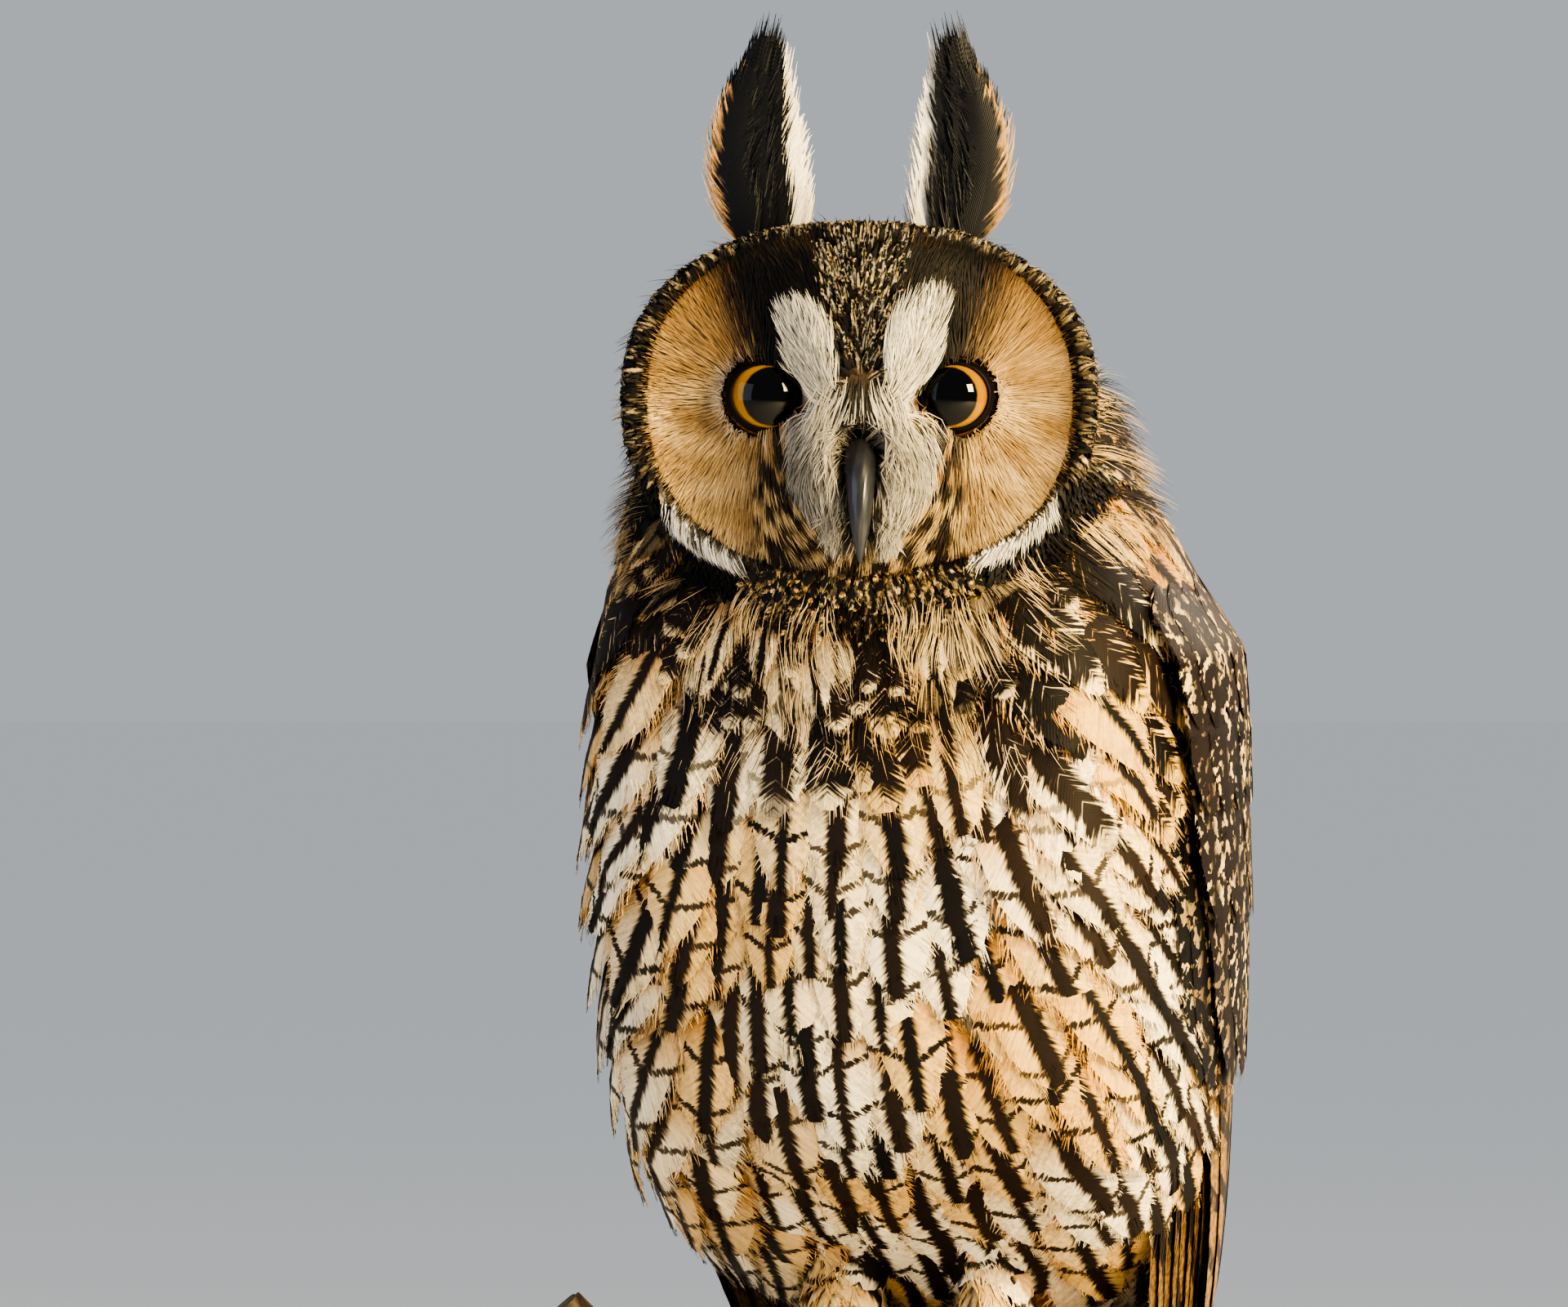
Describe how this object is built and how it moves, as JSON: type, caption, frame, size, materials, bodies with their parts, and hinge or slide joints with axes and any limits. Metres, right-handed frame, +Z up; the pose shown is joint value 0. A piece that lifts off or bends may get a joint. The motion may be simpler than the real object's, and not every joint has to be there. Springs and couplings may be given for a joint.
{
  "type": "long eared owl",
  "caption": "Long-eared owl standing upright with folded wings and raised ear tufts, gripping a short cut branch that a flat display stand with plain rods holds clear of the floor.",
  "frame": {"origin": "middle of the underside of the stand's base, straight below the branch between the feet", "axes": "+Z up, -Y the way the breast faces, +X the owl's left side and along the branch"},
  "size_m": [0.19, 0.16, 0.3719],
  "materials": {
    "plumage": "soft matte body feathers, buff with dark shaft streaks",
    "flight_feathers": "barred matte vanes with a faint sheen",
    "tuft_feathers": "near-black matte feathers with buff edges",
    "foot_down": "short dense buff feathering",
    "eye": "wet, glossy orange iris with a black pupil",
    "bill_horn": "smooth satin dark grey horn",
    "claw_horn": "smooth satin black horn",
    "bark": "rough, finely cracked bark with pale cut ends",
    "stained_wood": "satin dark stained wood",
    "dark_steel": "satin blackened steel"
  },
  "bodies": {
    "root": {"head": "plumage", "neck": "plumage", "torso": "plumage", "leg_left": "plumage", "leg_right": "plumage", "wing_left": "flight_feathers", "wing_right": "flight_feathers", "tail": "flight_feathers", "ear_tuft_left": "tuft_feathers", "ear_tuft_right": "tuft_feathers", "foot_left": "foot_down", "foot_right": "foot_down", "eye_left": "eye", "eye_right": "eye", "bill_upper": "bill_horn", "bill_lower": "bill_horn", "claw_inner_left": "claw_horn", "claw_middle_left": "claw_horn", "claw_outer_left": "claw_horn", "claw_hind_left": "claw_horn", "claw_inner_right": "claw_horn", "claw_middle_right": "claw_horn", "claw_outer_right": "claw_horn", "claw_hind_right": "claw_horn", "perch": "bark", "stand_base": "stained_wood", "stand_rod_left": "dark_steel", "stand_rod_right": "dark_steel"}
  },
  "joints": []
}
